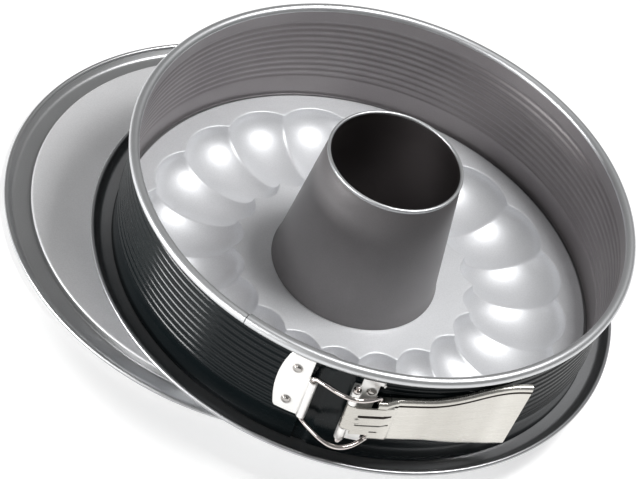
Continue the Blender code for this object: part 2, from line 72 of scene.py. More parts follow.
def roundedPath(corners, steps=5):
    # corners are (x, y) or (x, y, radius); a radius gives that corner a fillet
    path = []
    for i, corner in enumerate(corners):
        x, y = corner[0], corner[1]
        radius = corner[2] if len(corner) > 2 else 0
        if not radius or i in (0, len(corners) - 1):
            path.append((x, y))
            continue
        here = Vector((x, y))
        back = Vector(corners[i - 1][:2]) - here
        ahead = Vector(corners[i + 1][:2]) - here
        half = back.angle(ahead) / 2
        reach = min(radius / tan(half), 0.48 * back.length, 0.48 * ahead.length)
        radius = reach * tan(half)
        back.normalize()
        ahead.normalize()
        centre = here + (back + ahead).normalized() * radius / sin(half)
        first = here + back * reach - centre
        last = here + ahead * reach - centre
        start = atan2(first.y, first.x)
        turn = (atan2(last.y, last.x) - start + pi) % (2 * pi) - pi
        for k in range(steps + 1):
            t = start + turn * k / steps
            path.append((centre.x + radius * cos(t), centre.y + radius * sin(t)))
    return path


def offsetPath(path, amount):
    # shifts an open 2-D path to its left with mitred corners
    moved = []
    for i, here in enumerate(path):
        sides = []
        for a, b in ((i - 1, i), (i, i + 1)):
            if a < 0 or b >= len(path):
                continue
            dx, dy = path[b][0] - path[a][0], path[b][1] - path[a][1]
            size = hypot(dx, dy) or 1
            sides.append((-dy / size, dx / size))
        nx, ny = sum(s[0] for s in sides), sum(s[1] for s in sides)
        size = hypot(nx, ny) or 1
        nx, ny = nx / size, ny / size
        grow = amount / max(0.5, nx * sides[0][0] + ny * sides[0][1])
        moved.append((here[0] + nx * grow, here[1] + ny * grow))
    return moved


def smoothCurve(points, between):
    # Catmull-Rom curve through the points
    points = [Vector(p) for p in points]
    curve = []
    for i in range(len(points) - 1):
        a, b = points[max(0, i - 1)], points[i]
        c, d = points[i + 1], points[min(len(points) - 1, i + 2)]
        for k in range(between):
            t = k / between
            curve.append(0.5 * (2 * b + (c - a) * t + (2 * a - 5 * b + 4 * c - d) * t * t
                                + (3 * b - a - 3 * c + d) * t ** 3))
    curve.append(points[-1])
    return curve


def sheetMesh(front, back, closed=False, filled=None, lookOf=None):
    # closed sheet from columns of front and back points; filled(i, j) says which cells exist
    mesh = bmesh.new()
    made = {}
    wide = len(front) if closed else len(front) - 1
    tall = len(front[0]) - 1

    def corner(i, j, side):
        i = i % len(front)
        if (i, j, side) not in made:
            made[i, j, side] = mesh.verts.new((front, back)[side][i][j])
        return made[i, j, side]

    def there(i, j):
        if closed:
            i = i % wide
        return 0 <= i < wide and 0 <= j < tall and (filled is None or filled(i, j))

    for i in range(wide):
        for j in range(tall):
            if not there(i, j):
                continue
            ring = [(i, j), (i + 1, j), (i + 1, j + 1), (i, j + 1)]
            faces = [mesh.faces.new([corner(*c, 0) for c in ring]),
                     mesh.faces.new([corner(*c, 1) for c in ring[::-1]])]
            for k, beside in enumerate(((i, j - 1), (i + 1, j), (i, j + 1), (i - 1, j))):
                if not there(*beside):
                    a, b = ring[k], ring[(k + 1) % 4]
                    faces.append(mesh.faces.new((corner(*b, 0), corner(*a, 0), corner(*a, 1), corner(*b, 1))))
            if lookOf:
                for k, face in enumerate(faces):
                    face.material_index = lookOf(i, j, min(k, 1) if k < 2 else 2)
    return mesh


def turnedMesh(profile, steps, centre, axis=Vector((0, 0, 1)), side=Vector((1, 0, 0))):
    # solid of revolution; profile is (along the axis, radius)
    mesh = bmesh.new()
    other = axis.cross(side)
    rings = []
    for along, radius in profile:
        if radius < 1e-6:
            rings.append([mesh.verts.new(centre + axis * along / 1000)])
            continue
        turns = [2 * pi * k / steps for k in range(steps)]
        around = [cos(t) * side + sin(t) * other for t in turns]
        rings.append([mesh.verts.new(centre + (axis * along + radius * way) / 1000) for way in around])
    for a, b in zip(rings, rings[1:]):
        for k in range(steps):
            n = (k + 1) % steps
            corners = [a[k % len(a)], a[n % len(a)], b[n % len(b)], b[k % len(b)]]
            corners = [c for m, c in enumerate(corners) if c not in corners[:m]]
            if len(corners) > 2:
                mesh.faces.new(corners)
    for ring in (rings[0], rings[-1]):
        if len(ring) > 2:
            mesh.faces.new(ring)
    return mesh


def addPiece(name, mesh, looks, body, nodes, crease=35, bevel=0):
    bmesh.ops.remove_doubles(mesh, verts=mesh.verts, dist=1e-7)
    bmesh.ops.recalc_face_normals(mesh, faces=mesh.faces)
    if mesh.calc_volume() < 0:
        bmesh.ops.reverse_faces(mesh, faces=mesh.faces)
    for edge in mesh.edges:
        edge.smooth = len(edge.link_faces) == 2 and edge.calc_face_angle(pi) < radians(crease)
    data = bpy.data.meshes.new(name)
    mesh.to_mesh(data)
    mesh.free()
    for face in data.polygons:
        face.use_smooth = True
    for look in looks:
        data.materials.append(look)
    piece = bpy.data.objects.new(name, data)
    bpy.context.scene.collection.objects.link(piece)
    if bevel:
        soften = piece.modifiers.new("edges", "BEVEL")
        soften.width = bevel / 1000
        soften.segments = 2
        soften.limit_method = "ANGLE"
        soften.angle_limit = radians(38)
    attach(piece, body)
    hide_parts(*nodes)
    return piece


# finishes
def nodeMaker(look):
    tree = look.node_tree

    def add(kind, inputs=None, **settings):
        node = tree.nodes.new(kind)
        for key, value in settings.items():
            setattr(node, key, value)
        for key, value in (inputs or {}).items():
            if isinstance(value, bpy.types.NodeSocket):
                tree.links.new(value, node.inputs[key])
            else:
                node.inputs[key].default_value = value
        return node
    return add


def metalLook(name, finish):
    # satin or brushed sheet metal: fine grain, cloudy tone, roughness that wanders, and a light bump; on the
    # handle the cloud is stretched into upright bands that paint a reflection
    look = bpy.data.materials.new(name)
    look.use_nodes = True
    add = nodeMaker(look)
    shader = look.node_tree.nodes["Principled BSDF"]
    link = look.node_tree.links.new
    shader.inputs["Metallic"].default_value = finish["metallic"]
    shader.inputs["Specular IOR Level"].default_value = finish.get("specular", 0.5)
    place = add("ShaderNodeTexCoord").outputs["Object"]
    stretched = add("ShaderNodeMapping", {"Vector": place, "Scale": finish.get("stretch", (1, 1, 1))})
    grain = add("ShaderNodeTexNoise", {"Vector": stretched.outputs[0], "Scale": finish["grainPerMetre"],
                                       "Detail": 3.0, "Roughness": 0.6})
    drawn = add("ShaderNodeMapping", {"Vector": place, "Scale": finish.get("cloudStretch", (1, 1, 1))})
    cloud = add("ShaderNodeTexNoise", {"Vector": drawn.outputs[0], "Scale": finish.get("cloudPerMetre", 22),
                                       "Detail": 2.0, "Roughness": 0.5})
    # tone from the cloud, then the grain on top
    tone = add("ShaderNodeValToRGB", {"Fac": cloud.outputs["Fac"]})
    dark, light = finish["dark"], finish["light"]
    tone.color_ramp.elements[0].position = 0.3
    tone.color_ramp.elements[0].color = (*dark, 1)
    tone.color_ramp.elements[1].position = 0.7
    tone.color_ramp.elements[1].color = (*light, 1)
    fleck = add("ShaderNodeMapRange", {"Value": grain.outputs["Fac"], "From Min": 0.3, "From Max": 0.7,
                                       "To Min": 1 - finish["grain"], "To Max": 1 + finish["grain"]})
    shade = add("ShaderNodeVectorMath", {0: tone.outputs["Color"], "Scale": fleck.outputs[0]},
                operation="SCALE")
    link(shade.outputs[0], shader.inputs["Base Color"])
    rough = add("ShaderNodeMapRange", {"Value": grain.outputs["Fac"], "From Min": 0.3, "From Max": 0.7,
                                       "To Min": finish["roughness"] - finish["roughnessSpread"],
                                       "To Max": finish["roughness"] + finish["roughnessSpread"]})
    link(rough.outputs[0], shader.inputs["Roughness"])
    bump = add("ShaderNodeBump", {"Height": grain.outputs["Fac"], "Strength": finish["bump"],
                                  "Distance": 0.0001})
    link(bump.outputs[0], shader.inputs["Normal"])
    return look


finishes = {
    # the spare base, satin steel
    "flatSteel": {"dark": (0.79, 0.79, 0.80), "light": (0.85, 0.85, 0.86), "metallic": 0.35,
                  "roughness": 0.42, "roughnessSpread": 0.04, "grain": 0.05, "grainPerMetre": 1500,
                  "bump": 0.04},
    # its channel and rolled lip
    "flatLipSteel": {"dark": (0.54, 0.545, 0.55), "light": (0.60, 0.605, 0.61), "metallic": 0.95,
                     "roughness": 0.34, "roughnessSpread": 0.03, "grain": 0.04, "grainPerMetre": 1500,
                     "bump": 0.02},
    # channel and rolled lip of the scooped base
    "lipSteel": {"dark": (0.42, 0.425, 0.435), "light": (0.48, 0.485, 0.495), "metallic": 0.95,
                 "roughness": 0.34, "roughnessSpread": 0.03, "grain": 0.04, "grainPerMetre": 1500,
                 "bump": 0.02},
    # the scooped base, frosted bright
    "floorSteel": {"dark": (0.80, 0.81, 0.83), "light": (0.86, 0.87, 0.89), "metallic": 0.35,
                   "roughness": 0.44, "roughnessSpread": 0.04, "grain": 0.05, "grainPerMetre": 1500,
                   "bump": 0.04},
    # warm grey non-stick coating inside the band
    "insideCoating": {"dark": (0.26, 0.24, 0.247), "light": (0.31, 0.29, 0.295), "metallic": 0.5,
                      "roughness": 0.36, "roughnessSpread": 0.04, "grain": 0.05, "grainPerMetre": 1600,
                      "bump": 0.04},
    # black coating outside it
    "outsideCoating": {"dark": (0.004, 0.006, 0.007), "light": (0.006, 0.009, 0.01), "metallic": 0.0,
                       "specular": 0.18, "roughness": 0.19, "roughnessSpread": 0.02, "grain": 0.08,
                       "grainPerMetre": 1600, "bump": 0.02},
    "rimSilver": {"dark": (0.64, 0.65, 0.66), "light": (0.70, 0.71, 0.72), "metallic": 0.9,
                  "roughness": 0.38, "roughnessSpread": 0.01, "grain": 0.02, "grainPerMetre": 900,
                  "bump": 0.004},
    "tubeCoating": {"dark": (0.21, 0.203, 0.206), "light": (0.25, 0.24, 0.243), "metallic": 0.55,
                    "roughness": 0.4, "roughnessSpread": 0.04, "grain": 0.06, "grainPerMetre": 1500,
                    "bump": 0.05},
    "tubeInside": {"dark": (0.10, 0.087, 0.088), "light": (0.13, 0.115, 0.115), "metallic": 0.75,
                   "roughness": 0.42, "roughnessSpread": 0.04, "grain": 0.06, "grainPerMetre": 1500,
                   "bump": 0.05},
    # nickel plate of the latch
    # nickel colour, with its cloud stretched into upright dark and light bands: painted reflection of the
    # dark band along the handle
    "handleNickelWithPaintedReflection": {"dark": (0.52, 0.50, 0.46), "light": (0.77, 0.75, 0.70), "metallic": 0.95,
                     "roughness": 0.28, "roughnessSpread": 0.05, "grain": 0.06, "grainPerMetre": 70,
                     "stretch": (1, 1, 30), "bump": 0.07, "cloudPerMetre": 26,
                     "cloudStretch": (1, 1, 0.1)},
    "hookNickel": {"dark": (0.90, 0.89, 0.87), "light": (0.94, 0.93, 0.91), "metallic": 0.75,
                   "roughness": 0.32, "roughnessSpread": 0.04, "grain": 0.03, "grainPerMetre": 900,
                   "bump": 0.04},
    "wireNickel": {"dark": (0.62, 0.57, 0.55), "light": (0.70, 0.65, 0.62), "metallic": 1.0,
                   "roughness": 0.12, "roughnessSpread": 0.03, "grain": 0.03, "grainPerMetre": 700,
                   "bump": 0.02},
    # painted shade: a dark, rough, barely metallic look laid into the lever's pressed grooves and the line
    # under its hem
    "paintedGrooveShade": {"dark": (0.05, 0.04, 0.035), "light": (0.09, 0.075, 0.065), "metallic": 0.2,
                     "specular": 0.2, "roughness": 0.6, "roughnessSpread": 0.04, "grain": 0.05,
                     "grainPerMetre": 900, "bump": 0.04},
    "rivetSteel": {"dark": (0.42, 0.40, 0.38), "light": (0.50, 0.48, 0.46), "metallic": 1.0,
                   "roughness": 0.16, "roughnessSpread": 0.03, "grain": 0.03, "grainPerMetre": 700,
                   "bump": 0.02},
}
looks = {name: metalLook(name, finish) for name, finish in finishes.items()}
print("finishes made:", len(looks))

# flange that both bases share
flange = {
    "plateauRadius": 127.3,
    "channelOuter": 136.6,
    "channelDrop": 3.0,
    "lipRadius": 142.0,
    "lipBead": 1.3,
    "shoulderFillet": 1.1,
    "channelFillet": 0.9,
    "flankFillet": 3.2,
}


def flangeTop(plateau, lip):
    # from the plateau's shoulder down to the channel and up the lip, then over its roll
    f = flange
    channel = lip - f["channelDrop"]
    corners = [(f["plateauRadius"] - 6, plateau), (f["plateauRadius"] + 0.1, plateau, f["shoulderFillet"]),
               (f["plateauRadius"] + 0.5, channel, f["channelFillet"]),
               (f["channelOuter"], channel, f["flankFillet"])]
    roll = arc(f["lipRadius"] - f["lipBead"], lip, f["lipBead"], 195, -100, 18)
    return roundedPath(corners + [roll[0]])[1:-1] + roll


def roundSheet(profile, steps, at, body, name, node, lookList, lookOf, crease=35):
    under = offsetPath(profile, -sheet)
    front, back = [], []
    for i in range(steps):
        c, s = cos(2 * pi * i / steps), sin(2 * pi * i / steps)
        front.append([at(r * c, r * s, z) for r, z in profile])
        back.append([at(max(0, r) * c, max(0, r) * s, z) for r, z in under])
    return addPiece(name, sheetMesh(front, back, closed=True, lookOf=lookOf), lookList, body, [node], crease)


flatBase = {"plateau": 5.1, "lip": 3.6, "steps": 180}
flatProfile = [(0, flatBase["plateau"]), (60, flatBase["plateau"]), (110, flatBase["plateau"])]
flatProfile += flangeTop(flatBase["plateau"], flatBase["lip"])
roundSheet(flatProfile, flatBase["steps"], atFlatBase, "flat_base", "flatBaseSheet", "flat_base",
           [looks["flatSteel"], looks["flatLipSteel"]], lookOf=lambda i, j, side: 0 if j < 8 else 1)
print("flat base made")

# scooped floor of the tube base
floor = {
    "top": 21.5,
    "lip": 22.7,
    "hole": 43.6,
    "lobes": 20,
    "phase": 8,
    "lobeStart": 60.7,
    "lobeStop": 116.9,
    "depth": 15.5,
    "ridgeShare": 0.6,
    "ridgeRounding": 0.09,
    "edgeFillet": 0.8,
    "edgeRow": 1.7,
    "along": 30,
    "across": [0, 0.012, 0.026, 0.045, 0.07, 0.11, 0.17, 0.25, 0.33, 0.41, 0.5,
               0.59, 0.67, 0.75, 0.83, 0.89, 0.93, 0.955, 0.974, 0.988],
}


def scoopAcross(share):
    # -1 to 1 across a lobe, with the slope dying out at the ridges
    p = 2 * share - 1
    rest = abs(p) - (1 - floor["ridgeRounding"])
    if rest > 0:
        size = 1 - floor["ridgeRounding"] + rest - rest * rest / (2 * floor["ridgeRounding"])
        p = (1 if p > 0 else -1) * size
    return p * floor["ridgeShare"]


def scoopPath(share):
    v = scoopAcross(share)
    side = sqrt(1 - v * v)
    middle = (floor["lobeStart"] + floor["lobeStop"]) / 2
    half = (floor["lobeStop"] - floor["lobeStart"]) / 2 * side
    top = floor["top"]
    corners = [(floor["hole"], top), (48, top), (52, top), (middle - half - floor["edgeRow"], top),
               (middle - half, top, floor["edgeFillet"])]
    for k in range(1, floor["along"]):
        s = pi * k / floor["along"]
        corners.append((middle - half * cos(s), top - floor["depth"] * side * sin(s)))
    corners += [(middle + half, top, floor["edgeFillet"]), (middle + half + floor["edgeRow"], top),
                (119, top)]
    return roundedPath(corners, 3)


def scoopedFloor():
    outer = flangeTop(floor["top"], floor["lip"])
    front = []
    for lobe in range(floor["lobes"]):
        for share in floor["across"]:
            turn = radians(floor["phase"] + (lobe - 0.5 + share) * 360 / floor["lobes"])
            c, s = cos(turn), sin(turn)
            front.append([atPan(r * c, r * s, z) for r, z in scoopPath(share) + outer])
    # the underside follows the upper side's normals
    count = len(front)
    back = []
    for i in range(count):
        column = []
        for j in range(len(front[0])):
            alongRing = front[(i + 1) % count][j] - front[i - 1][j]
            alongRadius = front[i][min(j + 1, len(front[0]) - 1)] - front[i][max(j - 1, 0)]
            normal = alongRadius.cross(alongRing).normalized()
            column.append(front[i][j] - normal * sheet / 1000)
        back.append(column)
    plateau = len(scoopPath(0.5)) + 5
    return sheetMesh(front, back, closed=True, lookOf=lambda i, j, side: 0 if j < plateau else 1)


addPiece("scoopedBaseSheet", scoopedFloor(), [looks["floorSteel"], looks["lipSteel"]], "tube_base",
         ["tube_base_floor"], crease=60)
print("scooped floor made")

# centre tube
tube = {
    "foot": 44.5,
    "top": 35.6,
    "height": 80.4,
    "wall": 0.8,
    "bead": 0.95,
    "spigot": 43.3,
    "collar": 46.5,
    "steps": 144,
}


def tubeProfile():
    base = floor["top"]
    top = base + tube["height"]
    wall, bead = tube["wall"], tube["bead"]
    beadX = tube["top"] - wall / 2
    outside = [(tube["collar"], base - 1.7), (tube["collar"], base - 0.9), (tube["spigot"], base - 0.9),
               (tube["spigot"], base + 0.3), (tube["foot"] + 0.5, base + 0.3),
               (tube["foot"] + 0.45, base + 0.8), (tube["foot"] - 0.05, base + 2.0)]
    outside += [(tube["foot"] + (tube["top"] - tube["foot"]) * t, base + tube["height"] * t)
                for t in (0.1, 0.25, 0.4, 0.55, 0.7, 0.85, 0.95)]
    outside += [(tube["top"], top - 2.6 * bead)]
    beadArc = arc(beadX, top - bead, bead, -55, 235, 16)
    inside = [(r - wall, z) for r, z in outside[::-1] if z > base + 2.5]
    inside += [(tube["spigot"] - wall, base + 0.6), (tube["spigot"] - wall, base - 1.7)]
    return outside, beadArc, inside


def centreTube():
    outside, beadArc, inside = tubeProfile()
    loop = outside + beadArc + inside
    mesh = bmesh.new()
    rings = []
    for i in range(tube["steps"]):
        c, s = cos(2 * pi * i / tube["steps"]), sin(2 * pi * i / tube["steps"])
        rings.append([mesh.verts.new(atPan(r * c, r * s, z)) for r, z in loop])
    for i in range(tube["steps"]):
        a, b = rings[i], rings[(i + 1) % tube["steps"]]
        for k in range(len(loop)):
            n = (k + 1) % len(loop)
            face = mesh.faces.new((a[k], a[n], b[n], b[k]))
            if k < len(outside) - 1:
                face.material_index = 0
            elif k < len(outside) + len(beadArc) - 1:
                face.material_index = 1
            else:
                face.material_index = 2
    return mesh


tubeLooks = [looks["tubeCoating"], looks["rimSilver"], looks["tubeInside"]]
addPiece("centreTube", centreTube(), tubeLooks, "tube_base", ["center_tube"], crease=50)
print("centre tube made")

# sprung band in two halves
band = {
    "bore": 129.6,
    "bead": 2.7,
    "rimPlane": 82.5,
    "foot": 20.0,
    "ribs": 10,
    "ribDepth": 0.55,
    "firstRib": 9.0,
    "ribPitch": 4.2,
    "footTaper": 0.4,
    "lapStep": 1.5,
    "outerEnd": -90.2,
    "innerEnd": -107.9,
    "joggle": (-86.0, -88.0),
    "ribFade": (-79.0, -81.5),
    "ribShares": (0.1, 0.17, 0.23, 0.29, 0.35, 0.42, 0.5, 0.58, 0.65, 0.71, 0.77, 0.83, 0.9),
    "ribFlank": 0.32,
}
bandFace = band["bore"] + sheet
crestFace = bandFace + band["ribDepth"]


def bandProfile(overlap, smooth):
    # two sides of the sheet from the roll's free edge to the foot;
    # overlap 1 is the inner lap, smooth 1 has no ribs
    b = band
    middle = b["bore"] + b["bead"]
    rollOut = arc(middle, b["rimPlane"], b["bead"], -128, 180, 22)
    rollIn = arc(middle, b["rimPlane"], b["bead"] - sheet, -128, 180, 22)
    low = b["foot"] + 1.4
    ribTop = b["rimPlane"] - b["firstRib"] + b["ribPitch"] / 2
    ribLow = ribTop - b["ribs"] * b["ribPitch"]
    wall = [(bandFace, b["rimPlane"] - t) for t in (1.5, 3, 4.6, 5.8)]
    for i in range(b["ribs"]):
        for share in b["ribShares"]:
            wave = ease((0.5 - abs(share - 0.5) - b["ribShares"][0]) / b["ribFlank"])
            wall.append((bandFace + b["ribDepth"] * wave * (1 - smooth),
                         ribTop - (i + share) * b["ribPitch"]))
    for t in (0.25, 0.5, 0.75, 1):
        wall.append((bandFace - b["footTaper"] * ease(t) * (1 - overlap), ribLow + (low - ribLow) * t))
    outer = rollIn + wall + [(bandFace, b["foot"] + 0.7), (bandFace, b["foot"])]
    inner = rollOut + [(r - sheet, z) for r, z in wall]
    inner += [(b["bore"] - b["footTaper"], b["foot"] + 0.7), (b["bore"] - b["footTaper"], b["foot"])]
    sides = []
    for points in (outer, inner):
        sides.append([(r - overlap * b["lapStep"] * min(1, max(0, (middle - r) / b["bead"])), z)
                      for r, z in points])
    return sides, len(rollIn)


def bandSheet(turns, lapped, rollUntil=None):
    front, back = [], []
    joggle, fade = band["joggle"], band["ribFade"]
    for turn in turns:
        overlap = ease((turn - joggle[0]) / (joggle[1] - joggle[0])) if lapped else 0
        smooth = ease((turn - fade[0]) / (fade[1] - fade[0])) if lapped else 0
        (outer, inner), rollCount = bandProfile(overlap, smooth)
        c, s = cos(radians(turn)), sin(radians(turn))
        front.append([atPan(r * c, r * s, z) for r, z in outer])
        back.append([atPan(r * c, r * s, z) for r, z in inner])

    def lookOf(i, j, side):
        if j < rollCount - 1:
            return 2
        return {0: 1, 1: 0, 2: 1}[side]

    def filled(i, j):
        # the left half's roll stops where the right half's roll passes over it
        if rollUntil is None or (turns[i] + turns[i + 1]) / 2 < rollUntil:
            return True
        return j > rollCount + 2
    return sheetMesh(front, back, lookOf=lookOf, filled=filled)


bandLooks = [looks["insideCoating"], looks["outsideCoating"], looks["rimSilver"]]
rightTurns = [band["innerEnd"]] + spread(-107, -89, 36) + spread(-88.75, -85, 15) + spread(-84, 90, 174)
rightTurns = sorted(set(round(t, 4) for t in rightTurns))
rollStop = 360 + band["innerEnd"] - 0.2
leftTurns = spread(90, 360 - 109, 161) + [rollStop] + spread(360 - 107, 360 + band["outerEnd"], 17)
addPiece("bandRightSheet", bandSheet(rightTurns, True), bandLooks, "band", ["ring_band_right"], crease=40)
addPiece("bandLeftSheet", bandSheet(leftTurns, False, rollUntil=rollStop), bandLooks, "band_end",
         ["ring_band_left"], crease=40)
print("band halves made")

# latch: shared places along the wall
latch = {
    "height": 54.0,
    "pivotRise": 1.35,
    "pinX": 21.6,
    "pinFromWall": 5.87,
    "hookFromPin": 12.7,
    "hookFromWall": 3.02,
    "barrelX": 0.2,
    "plateFromWall": 0.3,
    "backHinge": (0, 135.2),
    "pinRadius": 1.25,
    "turningGap": 0.25,
    "wireRadius": 1.2,
    "leverRange": 120,
    "bandTurn": 2.30445,
    "wireTurn": 31.3718,
}


def byWall(x, distance):
    # a point at a given x in front of the band, a given distance outside its rib crests
    return (x, -sqrt((crestFace + distance) ** 2 - x * x))


def wallAngle(x, radius):
    return -degrees(acos(x / radius))


knuckleRadius = latch["pinRadius"] + latch["turningGap"] + plate
barrelRadius = latch["wireRadius"] + latch["turningGap"] + plate
latch["pin"] = byWall(latch["pinX"], latch["pinFromWall"])
latch["hook"] = byWall(latch["pinX"] + latch["hookFromPin"], latch["hookFromWall"])
latch["barrel"] = byWall(latch["barrelX"], barrelRadius + latch["plateFromWall"])


def bentColumns(path, side, sections, shear=None, press=None):
    # each section is a list of (depth, z), depth towards the given side of the path;
    # press(i, j) moves both faces of a spot by the same depth
    normals = offsetPath(path, side)
    front, back = [], []
    for i, ((x, y), (nx, ny)) in enumerate(zip(path, normals)):
        size = hypot(nx - x, ny - y)
        nx, ny = (nx - x) / size, (ny - y) / size
        slide = shear[i] if shear else 0
        tx, ty = side * ny, -side * nx
        for made, points in ((front, sections[i]), (back, offsetPath(sections[i], -plate))):
            if press:
                points = [(d + press(i, j), z) for j, (d, z) in enumerate(points)]
            made.append([atPan(x + nx * d + tx * slide * z, y + ny * d + ty * slide * z, latch["height"] + z)
                         for d, z in points])
    return front, back


# hook plate with its barrel
hookPlate = {
    "right": -1.8,
    "width": 15.8,
    "low": -14.9,
    "high": 24.1,
    "bow": 3.1,
    "cornerInset": 0.7,
    "lean": 0.11,
    "barrelHalf": 12.8,
    "rivetHalf": 11.5,
    "rivetInset": 7.4,
    "rivetDrop": 0.7,
}


def hookPlateMesh():
    h = hookPlate
    left = h["right"] - h["width"]
    wall = [byWall(x, latch["plateFromWall"]) for x in spread(left, h["right"], 12)]
    curl = arc(*latch["barrel"], barrelRadius, 90, -190, 26)
    path = wall + curl
    levels = sorted(set(spread(h["low"], h["high"], 30) + [-h["barrelHalf"], h["barrelHalf"]]))
    front, back = bentColumns(path, -1, [[(0, z) for z in levels]] * len(path))
    middle = (h["low"] + h["high"]) / 2
    half = (h["high"] - h["low"]) / 2
    for made in (front, back):
        for j, z in enumerate(levels):
            t = abs(z - middle) / half
            inset = h["bow"] * t ** 2 + h["cornerInset"] * max(0, (t - 0.95) / 0.05) ** 2
            for i in range(len(wall)):
                share = 1 - i / (len(wall) - 1)
                made[i][j] = made[i][j] + Vector((inset, -h["lean"] * inset, 0)) * share / 1000
    onPlate = len(wall) - 1

    def filled(i, j):
        return i < onPlate or -h["barrelHalf"] <= levels[j] < h["barrelHalf"]
    return sheetMesh(front, back, filled=filled)


addPiece("hookPlate", hookPlateMesh(), [looks["hookNickel"]], "band_end", ["hook_plate"], bevel=0.25)


# rivets
rivet = {
    "radius": 1.5,
    "head": 2.7,
    "ring": 0.3,
    "domeRadius": 2.05,
    "dome": 1.1,
    "outside": 132.2,
    "inside": 129.4,
    "seat": 131.05,
    "steps": 28,
}


def addRivet(name, node, body, angle, z, look):
    out = Vector((cos(radians(angle)), sin(radians(angle)), 0))
    centre = atPan(0, 0, z)
    side = Vector((0, 0, 1))
    r = rivet
    head = [(r["outside"], r["head"]), (r["outside"] + r["ring"], r["head"] - 0.1),
            (r["outside"] + r["ring"], r["domeRadius"] + 0.3), (r["outside"] + 0.05, r["domeRadius"] + 0.05)]
    head += [(r["outside"] + 0.05 + (r["dome"] - 0.05) * sin(radians(t)), r["domeRadius"] * cos(radians(t)))
             for t in spread(0, 90, 8)]
    head[-1] = (r["outside"] + r["dome"], 0)
    profile = [(r["inside"] - 0.4, 0), (r["inside"] - 0.4, 1.9), (r["inside"], 2.2),
               (r["inside"], r["radius"]), (r["outside"], r["radius"])] + head
    addPiece(name, turnedMesh(profile, r["steps"], centre, out, side), [look], body, [node], crease=50)


hookRivetAngle = wallAngle(hookPlate["right"] - hookPlate["rivetInset"], rivet["seat"])
hookMiddle = latch["height"] + (hookPlate["high"] + hookPlate["low"]) / 2 - hookPlate["rivetDrop"]
addRivet("hookRivetUpper", "hook_rivet_upper", "band_end", hookRivetAngle,
         hookMiddle + hookPlate["rivetHalf"], looks["rivetSteel"])
addRivet("hookRivetLower", "hook_rivet_lower", "band_end", hookRivetAngle,
         hookMiddle - hookPlate["rivetHalf"], looks["rivetSteel"])

# hinge bracket
bracket = {
    "fromPin": 0.9,
    "width": 8.7,
    "hornLength": 3.0,
    "hornHeight": 2.4,
    "near": 8.65,
    "far": 17.15,
    "edge": 4.9,
    "rivetFromPin": 6.6,
    "rivetInset": 2.8,
}


def bracketMesh():
    b = bracket
    pinX, pinY = latch["pin"]
    edgeX = pinX - knuckleRadius
    right = pinX + b["fromPin"] + b["width"]
    horn = spread(right + b["hornLength"], right, 6)
    wallX = horn + spread(right, pinX + b["fromPin"], 6)[1:] + [edgeX + 0.7]
    wall = [byWall(x, latch["plateFromWall"]) for x in wallX]
    # the horn's end curls away from the wall
    for i in range(3):
        x, y = wall[i]
        wall[i] = (x, y - 0.28 * (3 - i) ** 1.6)
    path = wall + [(edgeX + 0.2, wall[-1][1] - 0.2), (edgeX, wall[-1][1] - 0.7)]
    path += arc(pinX, pinY, knuckleRadius, 180, 430, 26)
    top = b["far"] + b["edge"]
    levels = [b["near"], b["far"], top - b["hornHeight"], top - 0.8, top]
    levels = [-z for z in levels[::-1]] + levels
    front, back = bentColumns(path, 1, [[(0, z + latch["pivotRise"]) for z in levels]] * len(path))
    turn = len(wall) - 2
    hornEnd = len(horn) - 1

    def filled(i, j):
        if i == 0:
            return j in (1, 7)
        if i < hornEnd:
            return j in (0, 1, 7, 8)
        if i < turn:
            return True
        return j in (3, 5)
    return sheetMesh(front, back, filled=filled)


addPiece("hingeBracket", bracketMesh(), [looks["hookNickel"]], "band", ["hinge_bracket"], bevel=0.25)
bracketAngle = wallAngle(latch["pin"][0] + bracket["rivetFromPin"], rivet["seat"])
for name, node, side in (("bracketRivetUpper", "bracket_rivet_upper", 1),
                         ("bracketRivetLower", "bracket_rivet_lower", -1)):
    height = latch["height"] + latch["pivotRise"] + side * (bracket["far"] - bracket["rivetInset"])
    addRivet(name, node, "band", bracketAngle, height, looks["rivetSteel"])

# pivot pin with collars and domed ends
pin = {"collarLow": 17.45, "collar": 1.2, "knob": 2.1, "collarRadius": 2.1, "steps": 28}


def pinProfile():
    r, c = latch["pinRadius"], pin["collarRadius"]
    low = pin["collarLow"]
    high = low + pin["collar"]
    end = high + pin["knob"]
    upper = [(0, r), (low, r), (low, c - 0.25), (low + 0.25, c), (high - 0.25, c), (high, c - 0.25),
             (high, r - 0.25), (high + 0.5, r - 0.2), (high + 0.8, r + 0.05), (end - 0.6, r + 0.05),
             (end - 0.2, r - 0.4), (end, 0)]
    return [(-a, radius) for a, radius in upper[:0:-1]] + upper


pinCentre = atPan(*latch["pin"], latch["height"] + latch["pivotRise"])
addPiece("pivotPin", turnedMesh(pinProfile(), pin["steps"], pinCentre), [looks["wireNickel"]], "band",
         ["pivot_pin"], crease=40)

# lever: knuckle, pressed tongue, ears and handle
lever = {
    "tongueHalf": 9.5,
    "tongueTurn": 15,
    "curlTurn": 255,
    "knuckleLow": -6.8,
    "stripFrom": 2.7,
    "earWidth": 2.9,
    "earDepth": 4.2,
    "earFrom": 12.5,
    "earTo": 17.0,
    "slit": 0.8,
    "slitTo": 16.6,
    "length": 80.1,
    "handleFrom": 0.25,
    "blendRun": 3,
    "fromWall": 3.2,
    "rise": 1.3,
    "riseUntil": 0.5,
    "flare": 4.5,
    "flareFrom": 0.73,
    "half": 13.6,
    "endHalf": 20.6,
    "widenFrom": 0.44,
    "widenRun": 0.5,
    "lift": 1.0,
    "slant": 0.08,
    "slantFrom": 0.625,
    "hem": 2.3,
    "strapMiddle": 0.7,
    "strapHalf": 2.6,
    "strapHeight": 0.4,
    "strapRun": (3.6, 20.8),
    "strapEnd": 1.2,
    "strapEdge": 0.5,
    "grooveWidth": 1.3,
    "grooveDepth": 1.3,
    "dimple": (4.2, 2.1, 0.9),
    "frameStep": (21.9, 0.6, 1.1),
    "edgeRound": 0.9,
    "hemLine": 2.3,
    "hemLineWidth": 0.7,
    "hemLineDepth": 0.6,
}


